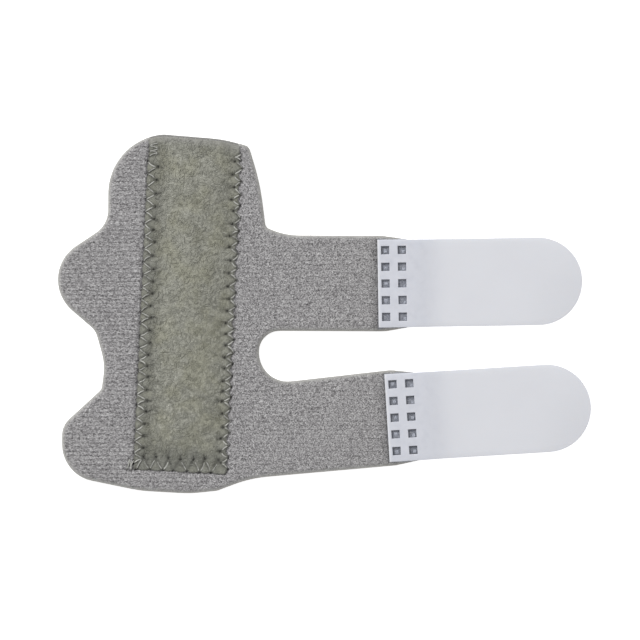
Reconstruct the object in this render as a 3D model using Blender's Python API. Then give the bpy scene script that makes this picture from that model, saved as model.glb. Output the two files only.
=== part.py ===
# Finger splint, laid open as it is sold: a soft wrap with two straps, a pile pocket sewn along the
# finger line and a moulded hook tab welded to the end of each strap.
# Metres, +Z up. X runs along the straps and Y along the finger, towards its tip. The origin is the
# middle of the finger line on the wrap's skin side, which lies on z = 0.
import math

import bmesh
import bpy
from mathutils import Matrix, Vector

MM = 0.001

# Wrap: one cut of knit-faced foam laminate
WRAP_LENGTH = 82.0 * MM
SIDE_REACH = 29.6 * MM
ROOT_REACH = 16.2 * MM
WRAP_THICKNESS = 2.0 * MM
EDGE_ROUND = 0.45 * MM
PRESS_DEPTH = 0.6 * MM
PRESS_RAMP = 1.2 * MM

# Straps: cut in one with the wrap, each with its own lie
STRAP_WIDTH = 21.8 * MM
STRAP_SHOULDER = 1.5 * MM
SHOULDER_RADIUS = 8.0 * MM
STRAP_END_INSET = 0.2 * MM
STRAP_END_RADIUS = 2.0 * MM
UPPER_ROOT_WIDTH = 21.8 * MM
UPPER_LENGTH = 27.1 * MM
UPPER_ANGLE = math.radians(-0.4)
UPPER_TAB_ANGLE = math.radians(0.9)
LOWER_ROOT_WIDTH = 21.0 * MM
LOWER_LENGTH = 29.3 * MM
LOWER_ANGLE = math.radians(5.9)
LOWER_TAB_ANGLE = math.radians(3.5)

# Hook tabs: moulded sheet, its hooks crushed flat where it is welded to the strap
TAB_LENGTH = 46.6 * MM
TAB_WIDTH = 20.0 * MM
TAB_THICKNESS = 1.2 * MM
WELD_THICKNESS = 0.6 * MM
WELD_LENGTH = 8.4 * MM
TAB_DROP = 7.0 * MM
HOLE_SIZE = 1.85 * MM
HOLE_SIDE_MARGIN = 2.4 * MM
HOLE_END_MARGIN = 1.75 * MM
HOLE_COLUMN_PITCH = 3.8 * MM
HOLE_COLUMNS = 2
HOLE_ROWS = 5

# Pocket: brushed loop cloth sewn down on three sides and open at the fingertip edge
POCKET_WIDTH = 22.0 * MM
POCKET_TILT = math.radians(2.7)
POCKET_MARGIN = 5.4 * MM
POCKET_THICKNESS = 1.3 * MM
POCKET_HEIGHT = 1.1 * MM
POCKET_END_RAMP = 7.0 * MM
MOUTH_HEIGHT_SHARE = 0.7
MOUTH_RAMP = 9.0 * MM
SEAM_WIDTH = 2.7 * MM
TRIM = 0.35 * MM

# Gap between pieces that touch
SEAT_GAP = 0.3 * MM

# Fineness of the curved edges and of the pocket's crown
ARC_STEP = math.radians(9.0)
ARC_CHORD = 1.2 * MM
POCKET_COLUMNS = 24
POCKET_ROWS = 26
DROP_STEPS = 10
ROUND_END_STEPS = 14

# Corners of the wrap's edge before rounding, from the fingertip's right corner round to the palm.
# x is a share of ROOT_REACH to the right and of SIDE_REACH to the left, y and radius of WRAP_LENGTH.
WRAP_CORNERS = (
    {"name": "tip_right", "x": 0.856, "y": 0.439, "radius": 0.017},
    {"name": "tip_crown", "x": 0.480, "y": 0.458, "radius": 0.330},
    {"name": "tip_peak", "x": -0.190, "y": 0.4715, "radius": 0.033},
    {"name": "tip_lobe", "x": -0.613, "y": 0.4545, "radius": 0.172},
    {"name": "upper_bay", "x": -0.615, "y": 0.220, "radius": 0.076},
    {"name": "middle_lobe", "x": -1.206, "y": 0.079, "radius": 0.112},
    {"name": "lower_bay_top", "x": -0.712, "y": -0.0735, "radius": 0.050},
    {"name": "lower_bay_side", "x": -0.639, "y": -0.167, "radius": 0.167},
    {"name": "lower_bay_end", "x": -0.665, "y": -0.237, "radius": 0.012},
    {"name": "lower_shoulder", "x": -0.970, "y": -0.338, "radius": 0.061},
    {"name": "lower_lobe", "x": -0.970, "y": -0.474, "radius": 0.103},
    {"name": "palm_edge", "x": -0.370, "y": -0.519, "radius": 0.415},
    {"name": "palm_low", "x": 0.028, "y": -0.527, "radius": 0.330},
    {"name": "palm_corner", "x": 0.416, "y": -0.519, "radius": 0.012},
)
# Middle of each strap where it leaves the wrap, as a share of WRAP_LENGTH
STRAP_ROOTS = {"upper": 0.0585, "lower": -0.3537}
# Where the straps grow out of the wrap. x is a share of ROOT_REACH and radius of WRAP_LENGTH.
ROOT_CORNERS = {
    "lower_root": {"x": 0.875, "radius": 0.360},
    "slot_lower": {"x": 1.0, "radius": 0.089},
    "slot_upper": {"x": 1.0, "radius": 0.064},
    "upper_root": {"x": 1.360, "radius": 0.205},
}
SIDE_CORNERS = (
    {"name": "side_corner", "x": 1.094, "y": 0.2135, "radius": 0.010},
    {"name": "side_edge", "x": 1.018, "y": 0.335, "radius": 0.690},
)


def clear_scene():
    for thing in list(bpy.data.objects):
        bpy.data.objects.remove(thing)


def make_material(name, color, roughness, metallic=0.0):
    material = bpy.data.materials.new(name)
    material.use_nodes = True
    shader = material.node_tree.nodes["Principled BSDF"]
    shader.inputs["Base Color"].default_value = (*color, 1.0)
    shader.inputs["Roughness"].default_value = roughness
    shader.inputs["Metallic"].default_value = metallic
    material.diffuse_color = (*color, 1.0)
    return material


def add_object(name, bm, material):
    bmesh.ops.recalc_face_normals(bm, faces=bm.faces)
    mesh = bpy.data.meshes.new(name)
    bm.to_mesh(mesh)
    bm.free()
    mesh.materials.append(material)
    mesh.shade_smooth()
    mesh.set_sharp_from_angle(angle=math.radians(35))
    thing = bpy.data.objects.new(name, mesh)
    bpy.context.scene.collection.objects.link(thing)
    return thing


def add_cutter(name, bm):
    bmesh.ops.recalc_face_normals(bm, faces=bm.faces)
    mesh = bpy.data.meshes.new(name)
    bm.to_mesh(mesh)
    bm.free()
    cutter = bpy.data.objects.new(name, mesh)
    cutter.hide_render = True
    cutter.display_type = "WIRE"
    bpy.context.scene.collection.objects.link(cutter)
    return cutter


def cut(thing, cutter):
    boolean = thing.modifiers.new(cutter.name, "BOOLEAN")
    boolean.operation = "DIFFERENCE"
    boolean.solver = "EXACT"
    boolean.object = cutter


# Outline of corners rounded by arcs

def edge_reach(x_share):
    return x_share * (ROOT_REACH if x_share > 0 else SIDE_REACH)


def table_corner(row):
    place = Vector((edge_reach(row["x"]), row["y"] * WRAP_LENGTH))
    return place, row["radius"] * WRAP_LENGTH


def arc_points(corner, towards, away, run):
    """Points of the arc that rounds a corner, starting and ending that run from it."""
    half = math.acos(max(-1.0, min(1.0, towards.dot(away)))) / 2
    radius = run * math.tan(half)
    middle = corner + (towards + away).normalized() * (radius / math.sin(half))
    start = corner + towards * run - middle
    turn = (math.pi - 2 * half) * (1 if towards.cross(away) < 0 else -1)
    steps = max(2, math.ceil(abs(turn) / ARC_STEP), math.ceil(abs(turn) * radius / ARC_CHORD))
    return [middle + Matrix.Rotation(turn * i / steps, 2) @ start for i in range(steps + 1)]


def rounded_outline(corners):
    """Corners and their radii as one outline. Two arcs that would overlap on an edge share its length."""
    count = len(corners)
    places = [place for place, _ in corners]
    sides = [places[(i + 1) % count] - places[i] for i in range(count)]
    runs = []
    for index, (_, radius) in enumerate(corners):
        turn = math.pi - (-sides[index - 1]).angle(sides[index])
        runs.append(radius * math.tan(turn / 2))
    fits = [min(1.0, 0.98 * sides[i].length / (runs[i] + runs[(i + 1) % count])) for i in range(count)]
    points = []
    for index, place in enumerate(places):
        towards = -sides[index - 1].normalized()
        away = sides[index].normalized()
        run = runs[index] * min(fits[index - 1], fits[index])
        points += arc_points(place, towards, away, run)
    return points


def inset_outline(points, distance):
    """The outline moved inwards by a distance, point for point. It runs anticlockwise."""
    moved = []
    for index, point in enumerate(points):
        along = points[(index + 1) % len(points)] - points[index - 1]
        inward = Vector((-along.y, along.x)).normalized()
        moved.append(point + inward * distance)
    return moved


# Straps

class Strap:
    """A strap's centre line from the slot's inner end to its tab, and the tab's own axis."""

    def __init__(self, name, root_width, length, angle, tab_angle):
        self.root = Vector((ROOT_REACH, STRAP_ROOTS[name] * WRAP_LENGTH))
        self.root_width = root_width
        self.length = length
        self.along = Vector((math.cos(angle), math.sin(angle)))
        self.across = Vector((-self.along.y, self.along.x))
        self.tab_place = self.root + self.along * length
        self.tab_angle = tab_angle

    def edge_at(self, x, side):
        """The point of the strap's upper (side 1) or lower (side -1) edge at that x."""
        start = self.root + self.across * (side * self.root_width / 2)
        end = self.tab_place + self.across * (side * STRAP_WIDTH / 2)
        share = (x - start.x) / (end.x - start.x)
        return start.lerp(end, share)

    def from_tab(self, along, across):
        """A point given along and across the tab's axis, from the middle of the tab's sewn edge."""
        return self.tab_place + Matrix.Rotation(self.tab_angle, 2) @ Vector((along, across))

    def end_corners(self):
        """The strap's end, which narrows under the tab, from its lower edge to its upper."""
        shoulder = STRAP_WIDTH / 2
        tip = TAB_WIDTH / 2 - STRAP_END_INSET
        return [
            (self.from_tab(STRAP_SHOULDER, -shoulder), SHOULDER_RADIUS),
            (self.from_tab(WELD_LENGTH, -tip), STRAP_END_RADIUS),
            (self.from_tab(WELD_LENGTH, tip), STRAP_END_RADIUS),
            (self.from_tab(STRAP_SHOULDER, shoulder), SHOULDER_RADIUS),
        ]


def root_corner(name, strap, side):
    row = ROOT_CORNERS[name]
    return strap.edge_at(row["x"] * ROOT_REACH, side), row["radius"] * WRAP_LENGTH


def wrap_outline(upper, lower):
    corners = [table_corner(row) for row in WRAP_CORNERS]
    corners.append(root_corner("lower_root", lower, -1))
    corners += lower.end_corners()
    corners.append(root_corner("slot_lower", lower, 1))
    corners.append(root_corner("slot_upper", upper, -1))
    corners += upper.end_corners()
    corners.append(root_corner("upper_root", upper, 1))
    corners += [table_corner(row) for row in SIDE_CORNERS]
    return rounded_outline(corners)


# Pieces

def ring_of(bm, points, z):
    return [bm.verts.new((point.x, point.y, z)) for point in points]


def bridge(bm, first, second):
    for index in range(len(first)):
        bm.faces.new((first[index - 1], first[index], second[index], second[index - 1]))


def make_wrap(outline, material):
    """The wrap as a plate whose cut edge is eased top and bottom."""
    inner = inset_outline(outline, EDGE_ROUND)
    bm = bmesh.new()
    rings = [
        ring_of(bm, inner, 0),
        ring_of(bm, outline, EDGE_ROUND),
        ring_of(bm, outline, WRAP_THICKNESS - EDGE_ROUND),
        ring_of(bm, inner, WRAP_THICKNESS),
    ]
    for low, high in zip(rings, rings[1:]):
        bridge(bm, low, high)
    bm.faces.new(reversed(rings[0]))
    bm.faces.new(rings[-1])
    return add_object("wrap_body", bm, material)


def make_press_cutter(name, strap):
    """What the weld presses out of a strap's end: a slab with a ramp at the tab's edge."""
    floor = WRAP_THICKNESS - PRESS_DEPTH
    top = WRAP_THICKNESS + PRESS_DEPTH
    ramp_end = -SEAT_GAP
    ramp_start = ramp_end - 2 * PRESS_RAMP
    beyond = WELD_LENGTH + PRESS_RAMP
    profile = ((ramp_start, top), (ramp_end, floor), (beyond, floor), (beyond, top))
    bm = bmesh.new()
    sides = []
    for across in (-STRAP_WIDTH, STRAP_WIDTH):
        side = []
        for along, z in profile:
            point = strap.from_tab(along, across)
            side.append(bm.verts.new((point.x, point.y, z)))
        bm.faces.new(side)
        sides.append(side)
    bridge(bm, *sides)
    return add_cutter(name, bm)


def ease(share):
    """A smooth step from 0 to 1."""
    share = max(0.0, min(1.0, share))
    return share * share * (3 - 2 * share)


def tab_sections():
    """Stations along a tab: distance, half width, underside and top."""
    weld_low = WRAP_THICKNESS - PRESS_DEPTH + SEAT_GAP
    weld_high = weld_low + WELD_THICKNESS
    round_start = TAB_LENGTH - TAB_WIDTH / 2
    flat_start = WELD_LENGTH + SEAT_GAP
    stations = [(0.0, TAB_WIDTH / 2, weld_low, weld_high)]
    for step in range(DROP_STEPS + 1):
        share = step / DROP_STEPS
        fall = ease(share)
        low = weld_low * (1 - fall)
        high = weld_high + (TAB_THICKNESS - weld_high) * fall
        stations.append((flat_start + TAB_DROP * share, TAB_WIDTH / 2, low, high))
    for step in range(ROUND_END_STEPS):
        angle = math.pi / 2 * step / ROUND_END_STEPS
        distance = round_start + math.sin(angle) * TAB_WIDTH / 2
        stations.append((distance, math.cos(angle) * TAB_WIDTH / 2, 0.0, TAB_THICKNESS))
    return stations


def make_tab_mesh(material):
    """One hook tab, lofted through its stations, then pierced by its weld holes."""
    bm = bmesh.new()
    sections = []
    for distance, half, low, high in tab_sections():
        corners = ((-half, low), (half, low), (half, high), (-half, high))
        sections.append([bm.verts.new((distance, across, z)) for across, z in corners])
    for near, far in zip(sections, sections[1:]):
        bridge(bm, near, far)
    bm.faces.new(sections[0])
    bm.faces.new(sections[-1])
    tab = add_object("tab_blank", bm, material)
    cutter = make_hole_cutter()
    cut(tab, cutter)
    graph = bpy.context.evaluated_depsgraph_get()
    mesh = bpy.data.meshes.new_from_object(tab.evaluated_get(graph))
    mesh.name = "hook_tab"
    bpy.data.objects.remove(tab)
    bpy.data.objects.remove(cutter)
    return mesh


def make_hole_cutter():
    """The square weld holes of a tab, as one field of prisms centred across it."""
    bm = bmesh.new()
    row_pitch = (TAB_WIDTH - 2 * HOLE_SIDE_MARGIN) / (HOLE_ROWS - 1)
    depth = 2 * (WRAP_THICKNESS + WELD_THICKNESS)
    for column in range(HOLE_COLUMNS):
        for row in range(HOLE_ROWS):
            along = HOLE_END_MARGIN + column * HOLE_COLUMN_PITCH
            across = (row - (HOLE_ROWS - 1) / 2) * row_pitch
            place = Matrix.Translation((along, across, WRAP_THICKNESS))
            size = Matrix.Diagonal((HOLE_SIZE, HOLE_SIZE, depth, 1))
            bmesh.ops.create_cube(bm, size=1.0, matrix=place @ size)
    return add_cutter("weld_holes", bm)


def place_tab(name, mesh, strap):
    tab = bpy.data.objects.new(name, mesh)
    tab.location = (strap.tab_place.x, strap.tab_place.y, 0)
    tab.rotation_euler.z = strap.tab_angle
    bpy.context.scene.collection.objects.link(tab)
    return tab


def distance_to_edge(outline, start, along):
    """How far a line from start runs before it last crosses the outline."""
    furthest = 0.0
    for index, point in enumerate(outline):
        side = point - outline[index - 1]
        facing = along.cross(side)
        if abs(facing) < 1e-12:
            continue
        offset = outline[index - 1] - start
        share = offset.cross(along) / facing
        distance = offset.cross(side) / facing
        if 0 <= share <= 1:
            furthest = max(furthest, distance)
    return furthest


def pocket_height(across, from_end, from_mouth):
    """How high the pocket's cloth stands off the wrap: flat at the seams, crowned between them."""
    free_half = POCKET_WIDTH / 2 - SEAM_WIDTH
    crown = math.cos(math.pi / 2 * min(1.0, abs(across) / free_half)) ** 0.8
    end = ease((from_end - SEAM_WIDTH) / POCKET_END_RAMP)
    mouth = MOUTH_HEIGHT_SHARE + (1 - MOUTH_HEIGHT_SHARE) * ease(from_mouth / MOUTH_RAMP)
    return POCKET_HEIGHT * crown * end * mouth


def make_pocket(outline, material):
    """The pocket's cloth, a sheet arched between its seams and trimmed to the wrap's fingertip edge."""
    along = Vector((math.sin(POCKET_TILT), math.cos(POCKET_TILT)))
    across_axis = Vector((along.y, -along.x))
    trimmed = inset_outline(outline, TRIM)
    end = along * (POCKET_MARGIN - distance_to_edge(outline, Vector((0, 0)), -along))
    floor = WRAP_THICKNESS + SEAT_GAP
    bm = bmesh.new()
    under, over = [], []
    for column in range(POCKET_COLUMNS + 1):
        across = POCKET_WIDTH * (column / POCKET_COLUMNS - 0.5)
        start = end + across_axis * across
        length = distance_to_edge(trimmed, start, along)
        low, high = [], []
        for row in range(POCKET_ROWS + 1):
            distance = length * row / POCKET_ROWS
            place = start + along * distance
            z = floor + pocket_height(across, distance, length - distance)
            low.append(bm.verts.new((place.x, place.y, z)))
            high.append(bm.verts.new((place.x, place.y, z + POCKET_THICKNESS)))
        under.append(low)
        over.append(high)
    for column in range(POCKET_COLUMNS):
        for row in range(POCKET_ROWS):
            for grid in (under, over):
                bm.faces.new((
                    grid[column][row], grid[column + 1][row],
                    grid[column + 1][row + 1], grid[column][row + 1],
                ))
    rim_low = under[0] + [line[-1] for line in under[1:-1]]
    rim_low += under[-1][::-1] + [line[0] for line in under[-2:0:-1]]
    rim_high = over[0] + [line[-1] for line in over[1:-1]]
    rim_high += over[-1][::-1] + [line[0] for line in over[-2:0:-1]]
    bridge(bm, rim_low, rim_high)
    return add_object("pocket_cloth", bm, material)


def main():
    clear_scene()
    knit = make_material("grey_knit", (0.30, 0.29, 0.29), 0.95)
    pile = make_material("loop_pile", (0.26, 0.265, 0.215), 0.98)
    plastic = make_material("hook_plastic", (0.72, 0.73, 0.77), 0.42)
    upper = Strap("upper", UPPER_ROOT_WIDTH, UPPER_LENGTH, UPPER_ANGLE, UPPER_TAB_ANGLE)
    lower = Strap("lower", LOWER_ROOT_WIDTH, LOWER_LENGTH, LOWER_ANGLE, LOWER_TAB_ANGLE)
    outline = wrap_outline(upper, lower)
    wrap = make_wrap(outline, knit)
    cut(wrap, make_press_cutter("upper_press", upper))
    cut(wrap, make_press_cutter("lower_press", lower))
    make_pocket(outline, pile)
    tab_mesh = make_tab_mesh(plastic)
    place_tab("hook_tab_upper", tab_mesh, upper)
    place_tab("hook_tab_lower", tab_mesh, lower)


main()
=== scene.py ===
# Finger splint laid open on a pale floor: a knit wrap, a pile pocket sewn on with zigzag thread, and hook tabs
import math
import random

import bmesh
import bpy
import numpy as np
from mathutils import Matrix, Vector, noise


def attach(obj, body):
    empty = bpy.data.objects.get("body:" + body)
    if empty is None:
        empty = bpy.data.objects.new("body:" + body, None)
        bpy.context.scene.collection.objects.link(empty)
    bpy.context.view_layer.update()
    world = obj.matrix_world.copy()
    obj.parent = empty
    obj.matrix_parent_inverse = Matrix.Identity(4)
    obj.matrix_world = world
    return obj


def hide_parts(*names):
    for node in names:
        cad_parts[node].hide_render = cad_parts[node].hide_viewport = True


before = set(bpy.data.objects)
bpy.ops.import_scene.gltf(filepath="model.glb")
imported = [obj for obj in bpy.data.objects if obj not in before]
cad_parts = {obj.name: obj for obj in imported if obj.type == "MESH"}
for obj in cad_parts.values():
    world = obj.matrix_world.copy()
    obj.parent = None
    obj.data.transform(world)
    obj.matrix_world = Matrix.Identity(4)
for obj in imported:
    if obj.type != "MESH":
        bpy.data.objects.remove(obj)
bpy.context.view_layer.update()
mm = 0.001
print("frame loaded")


# Small helpers

def newPiece(name, bm, material):
    mesh = bpy.data.meshes.new(name)
    bm.to_mesh(mesh)
    bm.free()
    mesh.materials.append(material)
    thing = bpy.data.objects.new(name, mesh)
    bpy.context.scene.collection.objects.link(thing)
    return thing


def fixModifiers(thing):
    # leaves the mesh as its modifiers show it, and takes them off
    graph = bpy.context.evaluated_depsgraph_get()
    mesh = bpy.data.meshes.new_from_object(thing.evaluated_get(graph))
    thing.modifiers.clear()
    old, thing.data = thing.data, mesh
    mesh.name = thing.name
    bpy.data.meshes.remove(old)


def nodeMesh(nodeName):
    # the CAD node's mesh with its loose triangles joined up
    bm = bmesh.new()
    bm.from_mesh(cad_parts[nodeName].data)
    bmesh.ops.remove_doubles(bm, verts=bm.verts, dist=0.005 * mm)
    return bm


def getPoints(mesh):
    flat = np.zeros(len(mesh.vertices) * 3, np.float32)
    mesh.vertices.foreach_get("co", flat)
    return flat.reshape(-1, 3).astype(float)


def setPoints(mesh, points):
    mesh.vertices.foreach_set("co", points.astype(np.float32).ravel())
    mesh.update()


def setMask(mesh, name, values):
    layer = mesh.attributes.new(name, "FLOAT", "POINT")
    layer.data.foreach_set("value", np.clip(values, 0, 1).astype(np.float32))


def ease(share):
    share = np.clip(share, 0, 1)
    return share * share * (3 - 2 * share)


def hump(distance, width):
    return np.exp(-(distance / width) ** 2)


def grain(points, size, seed=0):
    # soft noise from -1 to 1 with lumps about that size
    shift = Vector((seed * 7.3, seed * 3.1, seed * 5.7))
    return np.array([noise.noise(Vector(p) / size + shift) for p in points])


def nearest(points, starts, ends):
    # distance from each 2D point to the nearest of the segments
    best = np.full(len(points), 1.0)
    for start, end in zip(starts, ends):
        run = end - start
        share = np.clip((points - start) @ run / max(run @ run, 1e-15), 0, 1)
        best = np.minimum(best, np.linalg.norm(points - start - share[:, None] * run, axis=1))
    return best


def nearestPoint(points, spots, reach):
    # distance to the nearest spot, read only within reach of one
    best = np.full(len(points), 1.0)
    for spot in spots:
        close = np.abs(points - spot).max(axis=1) < reach
        best[close] = np.minimum(best[close], np.linalg.norm(points[close] - spot, axis=1))
    return best


# What the frame says: the wrap's cut line, the pocket's own axes and the tabs' own axes

def cutLine():
    bm = nodeMesh("wrap_body")
    levels = sorted({round(v.co.z, 6) for v in bm.verts})
    ring = [e for e in bm.edges if all(abs(v.co.z - levels[1]) < 0.01 * mm for v in e.verts)]
    starts = np.array([e.verts[0].co.xy for e in ring], float)
    ends = np.array([e.verts[1].co.xy for e in ring], float)
    bm.free()
    return starts, ends


def flatPoints(nodeName):
    return getPoints(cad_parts[nodeName].data)[:, :2]


def pocketAxes():
    points = flatPoints("pocket_cloth")
    left = points[np.argmin(points @ (1, 1))]
    right = points[np.argmax(points @ (1, -1))]
    width = np.linalg.norm(right - left)
    across = (right - left) / width
    return {"start": (left + right) / 2, "across": across, "along": np.array((-across[1], across[0])), "width": width}


def tabAxes(nodeName):
    points = flatPoints(nodeName)
    upper = points[np.argmin(points[:, 0])]
    near = points[points[:, 0] < upper[0] + 2 * mm]
    lower = near[np.argmin(near[:, 1])]
    width = np.linalg.norm(upper - lower)
    across = (upper - lower) / width
    along = np.array((across[1], -across[0]))
    start = (upper + lower) / 2
    length = ((points - start) @ along).max()
    return {"start": start, "across": across, "along": along, "width": width, "length": length}


cutStarts, cutEnds = cutLine()
pocketFrame = pocketAxes()
tabFrames = {name: tabAxes(name) for name in ("hook_tab_upper", "hook_tab_lower")}


def toPocket(points):
    # world x, y as u across the pocket from its middle and v along it from its palm end
    offset = points - pocketFrame["start"]
    return offset @ pocketFrame["across"], offset @ pocketFrame["along"]


def fromPocket(u, v):
    return pocketFrame["start"] + np.multiply.outer(u, pocketFrame["across"]) + np.multiply.outer(v, pocketFrame["along"])


def pocketLength(u):
    # how far the pocket runs at that u before the fingertip edge
    start, along = fromPocket(u, 0.0), pocketFrame["along"]
    runs = cutEnds - cutStarts
    facing = along[0] * runs[:, 1] - along[1] * runs[:, 0]
    offsets = cutStarts - start
    safe = np.where(np.abs(facing) < 1e-12, 1e-12, facing)
    share = (offsets[:, 0] * along[1] - offsets[:, 1] * along[0]) / safe
    distance = (offsets[:, 0] * runs[:, 1] - offsets[:, 1] * runs[:, 0]) / safe
    return distance[(share >= 0) & (share <= 1)].max() - pocket["trim"]


# Shader pieces

def tint(red, green, blue):
    # a colour as seen on screen, 0 to 255, as the shader's own values
    shares = [c / 255 for c in (red, green, blue)]
    return (*[s / 12.92 if s < 0.04 else ((s + 0.055) / 1.055) ** 2.4 for s in shares], 1.0)


def addNode(tree, kind, inputs=None, **settings):
    made = tree.nodes.new(kind)
    for key, value in settings.items():
        setattr(made, key, value)
    for key, value in (inputs or {}).items():
        feed(tree, made.inputs[key], value)
    return made


def feed(tree, socket, value):
    if isinstance(value, bpy.types.NodeSocket):
        tree.links.new(value, socket)
    else:
        socket.default_value = value


def maths(tree, operation, *terms, clamp=False):
    made = addNode(tree, "ShaderNodeMath", operation=operation, use_clamp=clamp)
    for socket, term in zip(made.inputs, terms):
        feed(tree, socket, term)
    return made.outputs[0]


def rescale(tree, value, low, high, newLow=0.0, newHigh=1.0, smooth=False):
    kind = "SMOOTHSTEP" if smooth else "LINEAR"
    inputs = {"Value": value, "From Min": low, "From Max": high, "To Min": newLow, "To Max": newHigh}
    return addNode(tree, "ShaderNodeMapRange", inputs, interpolation_type=kind).outputs[0]


def mixColor(tree, share, first, second, blend="MIX"):
    made = addNode(tree, "ShaderNodeMix", data_type="RGBA", blend_type=blend)
    for number, value in ((0, share), (6, first), (7, second)):
        feed(tree, made.inputs[number], value)
    return made.outputs[2]


def mask(tree, name):
    return addNode(tree, "ShaderNodeAttribute", attribute_name=name).outputs["Fac"]


def millimetres(tree):
    # Object coordinates in millimetres
    place = addNode(tree, "ShaderNodeTexCoord").outputs["Object"]
    return addNode(tree, "ShaderNodeVectorMath", {0: place, 1: (1000, 1000, 1000)}, operation="MULTIPLY").outputs[0]


def shaderGroup(name, inputs, outputs):
    tree = bpy.data.node_groups.new(name, "ShaderNodeTree")
    for key, value in inputs.items():
        kind = "NodeSocketVector" if value is None else "NodeSocketFloat"
        socket = tree.interface.new_socket(name=key, in_out="INPUT", socket_type=kind)
        if value is not None:
            socket.default_value = value
    for key in outputs:
        tree.interface.new_socket(name=key, in_out="OUTPUT", socket_type="NodeSocketFloat")
    return tree, addNode(tree, "NodeGroupInput").outputs, addNode(tree, "NodeGroupOutput").inputs


def placeGroup(tree, group, **inputs):
    made = addNode(tree, "ShaderNodeGroup", node_tree=group)
    for key, value in inputs.items():
        feed(tree, made.inputs[key], value)
    return made.outputs


def makeFleckGroup():
    # short flecks of lighter and darker fibre, drawn out along X by Stretch
    given = {"Place": None, "Size": 0.4, "Stretch": 1.0, "Fine": 0.66, "Seed": 0.0}
    tree, given, out = shaderGroup("fibreFlecks", given, ["Tone"])
    parts = addNode(tree, "ShaderNodeSeparateXYZ", {0: given["Place"]}).outputs
    long = maths(tree, "DIVIDE", parts[0], maths(tree, "MULTIPLY", given["Size"], given["Stretch"]))
    short = maths(tree, "DIVIDE", parts[1], given["Size"])
    deep = maths(tree, "ADD", maths(tree, "DIVIDE", parts[2], given["Size"]), given["Seed"])
    spot = addNode(tree, "ShaderNodeCombineXYZ", {0: long, 1: short, 2: deep}).outputs[0]
    broad = addNode(tree, "ShaderNodeTexNoise", {"Vector": spot, "Scale": 1.0, "Detail": 1.0, "Distortion": 0.5}).outputs[0]
    fine = addNode(tree, "ShaderNodeTexNoise", {"Vector": spot, "Scale": 2.3, "Detail": 1.0}).outputs[0]
    both = addNode(tree, "ShaderNodeMix", {0: given["Fine"], 2: broad, 3: fine}).outputs[0]
    tree.links.new(rescale(tree, both, 0.35, 0.65), out["Tone"])
    return tree


def makeKnitGroup():
    # the legs of a jersey face: Relief is their roundness, Tone a value for each leg, Row marks every third course
    given = {"Place": None, "Course": 0.33, "Wale": 0.6, "Wander": 0.08}
    tree, given, out = shaderGroup("knitLegs", given, ["Relief", "Tone", "Row"])
    drift = addNode(tree, "ShaderNodeTexNoise", {"Vector": given["Place"], "Scale": 0.35, "Detail": 1.0}).outputs["Color"]
    drift = addNode(tree, "ShaderNodeVectorMath", {0: drift, 1: (0.5, 0.5, 0.5)}, operation="SUBTRACT").outputs[0]
    reach = maths(tree, "MULTIPLY", given["Wander"], 10.0)
    drift = addNode(tree, "ShaderNodeVectorMath", {0: drift, "Scale": reach}, operation="SCALE").outputs[0]
    spot = addNode(tree, "ShaderNodeVectorMath", {0: given["Place"], 1: drift}, operation="ADD").outputs[0]
    parts = addNode(tree, "ShaderNodeSeparateXYZ", {0: spot}).outputs
    wale = maths(tree, "DIVIDE", parts[0], given["Wale"])
    fromMiddle = maths(tree, "ABSOLUTE", maths(tree, "SUBTRACT", maths(tree, "FRACT", wale), 0.5))
    row = maths(tree, "ADD", maths(tree, "DIVIDE", parts[1], given["Course"]), maths(tree, "MULTIPLY", fromMiddle, 1.3))
    rowNumber = maths(tree, "FLOOR", row)
    leg = maths(tree, "MULTIPLY", wale, 2.0)
    legNumber = maths(tree, "FLOOR", leg)
    overRow = maths(tree, "SINE", maths(tree, "MULTIPLY", maths(tree, "FRACT", row), math.pi))
    overLeg = maths(tree, "SINE", maths(tree, "MULTIPLY", maths(tree, "FRACT", leg), math.pi))
    relief = maths(tree, "MULTIPLY", maths(tree, "POWER", overRow, 0.6), maths(tree, "POWER", overLeg, 0.6))
    tree.links.new(relief, out["Relief"])
    cell = addNode(tree, "ShaderNodeCombineXYZ", {0: legNumber, 1: rowNumber}).outputs[0]
    tree.links.new(addNode(tree, "ShaderNodeTexWhiteNoise", {"Vector": cell}).outputs["Value"], out["Tone"])
    third = maths(tree, "FRACT", maths(tree, "MULTIPLY", rowNumber, 1 / 3))
    tree.links.new(maths(tree, "LESS_THAN", third, 0.2), out["Row"])
    return tree


fleckGroup = makeFleckGroup()
knitGroup = makeKnitGroup()


def newMaterial(name, **constants):
    material = bpy.data.materials.new(name)
    material.use_nodes = True
    tree = material.node_tree
    shader = tree.nodes["Principled BSDF"]
    for key, value in constants.items():
        shader.inputs[key].default_value = value
    return material, tree, shader


def bumpInto(tree, shader, height, depth, strength=1.0):
    made = addNode(tree, "ShaderNodeBump", {"Height": height, "Distance": depth, "Strength": strength})
    tree.links.new(made.outputs[0], shader.inputs["Normal"])


# Wrap: heather grey knit faces on a thin foam, with a bare cut edge

wrap = {
    "voxel": 0.36 * mm,
    "rimWidth": 1.0 * mm, "rimRoll": 0.5 * mm,
    "sway": 0.16 * mm, "swaySpan": 17 * mm,
    "grooveDepth": 0.26 * mm, "grooveWidth": 0.22 * mm,
    "pinchDepth": 0.5 * mm, "pinchWidth": 0.34 * mm,
    "skinGroove": 0.4 * mm, "skinGrooveWidth": 0.36 * mm,
    "swellHeight": 0.06 * mm,
    "course": 0.33, "wale": 0.6, "relief": 0.10 * mm,
    "darkYarn": tint(64, 63, 64), "midYarn": tint(146, 144, 145), "lightYarn": tint(214, 213, 213),
    "rimFoamAndHighlight": tint(166, 165, 161), "foam": tint(158, 157, 152), "seamShadow": tint(38, 37, 36), "film": tint(132, 138, 152),
    "fuzzLength": 0.42 * mm, "fuzzThickness": 0.022 * mm, "fuzzPerSquare": 1.9,
}

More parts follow.
